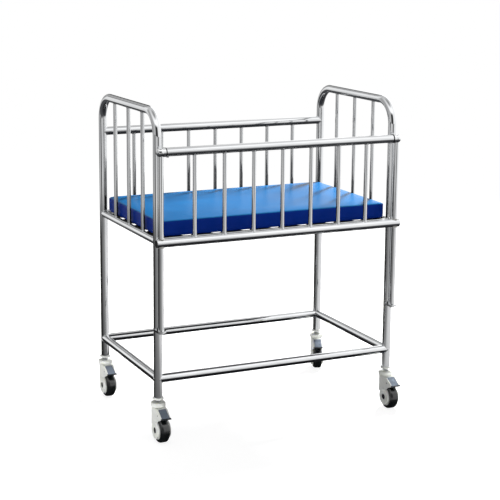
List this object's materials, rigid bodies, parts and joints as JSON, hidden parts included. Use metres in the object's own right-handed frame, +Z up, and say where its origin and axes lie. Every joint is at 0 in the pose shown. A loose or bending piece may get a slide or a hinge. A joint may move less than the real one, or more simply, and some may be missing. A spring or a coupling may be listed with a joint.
{
  "type": "hospital bassinet",
  "caption": "Tubular steel infant crib trolley: hooped ends, upright bars, one side that slides down on guide rods, punched deck, blue mattress and braked swivel casters",
  "frame": {"origin": "on the floor, under the middle of the bounding box, casters trailing forward", "axes": "+X along the length from left end to right end, +Y from the drop side to the fixed side, +Z up"},
  "size_m": [0.809, 0.5475, 0.9725],
  "materials": {
    "polished_steel": "polished stainless steel tube, mirror-like with soft dark reflections",
    "punched_sheet": "dull stainless sheet",
    "bare_pins": "plain turned steel",
    "blue_vinyl": "smooth coated vinyl, strong blue, slight sheen",
    "foam": "open-cell foam inside the cover",
    "white_nylon": "off-white moulded nylon",
    "natural_nylon": "turned nylon bush",
    "black_rubber": "dark rubber tread",
    "slate_plastic": "blue-grey moulded pedal",
    "black_latch": "black latch plunger and finger tab"
  },
  "bodies": {
    "frame": {"left_end_hoop": "polished_steel", "left_end_bars": "polished_steel", "left_bed_rail": "polished_steel", "left_shelf_rail": "polished_steel", "left_guide_rod": "polished_steel", "right_end_hoop": "polished_steel", "right_end_bars": "polished_steel", "right_bed_rail": "polished_steel", "right_shelf_rail": "polished_steel", "right_guide_rod": "polished_steel", "front_bed_rail": "polished_steel", "front_shelf_rail": "polished_steel", "back_bed_rail": "polished_steel", "back_shelf_rail": "polished_steel", "back_top_rail": "polished_steel", "back_bars": "polished_steel", "bed_deck": "punched_sheet", "rod_lugs": "polished_steel", "leg_sockets": "white_nylon", "caster_stems": "bare_pins"},
    "drop_side": {"drop_top_rail": "polished_steel", "drop_bottom_rail": "polished_steel", "drop_bars": "polished_steel", "drop_rail_bushes": "natural_nylon", "latch_stops": "bare_pins", "left_slide_block": "polished_steel", "right_slide_block": "polished_steel", "left_latch_spring": "bare_pins", "right_latch_spring": "bare_pins"},
    "left_latch": {"left_latch_plunger": "black_latch"},
    "right_latch": {"right_latch_plunger": "black_latch"},
    "mattress": {"mattress_cover": "blue_vinyl", "mattress_foam": "foam"},
    "front_left_fork": {"front_left_caster_fork": "white_nylon", "front_left_wheel_axle": "bare_pins", "front_left_pedal_pin": "bare_pins"},
    "front_left_wheel": {"front_left_wheel_hub": "white_nylon", "front_left_tyre": "black_rubber"},
    "front_left_pedal": {"front_left_brake_pedal": "slate_plastic"},
    "front_right_fork": {"front_right_caster_fork": "white_nylon", "front_right_wheel_axle": "bare_pins", "front_right_pedal_pin": "bare_pins"},
    "front_right_wheel": {"front_right_wheel_hub": "white_nylon", "front_right_tyre": "black_rubber"},
    "front_right_pedal": {"front_right_brake_pedal": "slate_plastic"},
    "back_left_fork": {"back_left_caster_fork": "white_nylon", "back_left_wheel_axle": "bare_pins", "back_left_pedal_pin": "bare_pins"},
    "back_left_wheel": {"back_left_wheel_hub": "white_nylon", "back_left_tyre": "black_rubber"},
    "back_left_pedal": {"back_left_brake_pedal": "slate_plastic"},
    "back_right_fork": {"back_right_caster_fork": "white_nylon", "back_right_wheel_axle": "bare_pins", "back_right_pedal_pin": "bare_pins"},
    "back_right_wheel": {"back_right_wheel_hub": "white_nylon", "back_right_tyre": "black_rubber"},
    "back_right_pedal": {"back_right_brake_pedal": "slate_plastic"}
  },
  "joints": [
    {"name": "drop_side_slide", "type": "slide", "parent": "frame", "child": "drop_side", "axis": [0, 0, -1], "range_m": [0, 0.24]},
    {"name": "left_latch_pull", "type": "slide", "parent": "drop_side", "child": "left_latch", "axis": [1, 0, 0], "range_m": [0, 0.006], "stiffness_N_per_m": 300, "springref_m": -0.005, "deforming": ["left_latch_spring"]},
    {"name": "right_latch_pull", "type": "slide", "parent": "drop_side", "child": "right_latch", "axis": [-1, 0, 0], "range_m": [0, 0.006], "stiffness_N_per_m": 300, "springref_m": -0.005, "deforming": ["right_latch_spring"]},
    {"name": "mattress_lift", "type": "slide", "parent": "frame", "child": "mattress", "axis": [0, 0, 1], "range_m": [0, 0.25]},
    {"name": "front_left_swivel", "type": "hinge", "parent": "frame", "child": "front_left_fork", "pos_m": [-0.3825, -0.20825, 0.114], "axis": [0, 0, 1], "continuous": true},
    {"name": "front_left_wheel_spin", "type": "hinge", "parent": "front_left_fork", "child": "front_left_wheel", "pos_m": [-0.3825, -0.23325, 0.0375], "axis": [1, 0, 0], "continuous": true},
    {"name": "front_left_brake_press", "type": "hinge", "parent": "front_left_fork", "child": "front_left_pedal", "pos_m": [-0.3825, -0.24425, 0.084], "axis": [1, 0, 0], "range_deg": [0, 12]},
    {"name": "front_right_swivel", "type": "hinge", "parent": "frame", "child": "front_right_fork", "pos_m": [0.3825, -0.20825, 0.114], "axis": [0, 0, 1], "continuous": true},
    {"name": "front_right_wheel_spin", "type": "hinge", "parent": "front_right_fork", "child": "front_right_wheel", "pos_m": [0.3825, -0.23325, 0.0375], "axis": [1, 0, 0], "continuous": true},
    {"name": "front_right_brake_press", "type": "hinge", "parent": "front_right_fork", "child": "front_right_pedal", "pos_m": [0.3825, -0.24425, 0.084], "axis": [1, 0, 0], "range_deg": [0, 12]},
    {"name": "back_left_swivel", "type": "hinge", "parent": "frame", "child": "back_left_fork", "pos_m": [-0.3825, 0.25175, 0.114], "axis": [0, 0, 1], "continuous": true},
    {"name": "back_left_wheel_spin", "type": "hinge", "parent": "back_left_fork", "child": "back_left_wheel", "pos_m": [-0.3825, 0.22675, 0.0375], "axis": [1, 0, 0], "continuous": true},
    {"name": "back_left_brake_press", "type": "hinge", "parent": "back_left_fork", "child": "back_left_pedal", "pos_m": [-0.3825, 0.21575, 0.084], "axis": [1, 0, 0], "range_deg": [0, 12]},
    {"name": "back_right_swivel", "type": "hinge", "parent": "frame", "child": "back_right_fork", "pos_m": [0.3825, 0.25175, 0.114], "axis": [0, 0, 1], "continuous": true},
    {"name": "back_right_wheel_spin", "type": "hinge", "parent": "back_right_fork", "child": "back_right_wheel", "pos_m": [0.37313, 0.22857, 0.0375], "axis": [0.9272, -0.3746, 0], "continuous": true},
    {"name": "back_right_brake_press", "type": "hinge", "parent": "back_right_fork", "child": "back_right_pedal", "pos_m": [0.36901, 0.21837, 0.084], "axis": [0.9272, -0.3746, 0], "range_deg": [0, 12]}
  ]
}
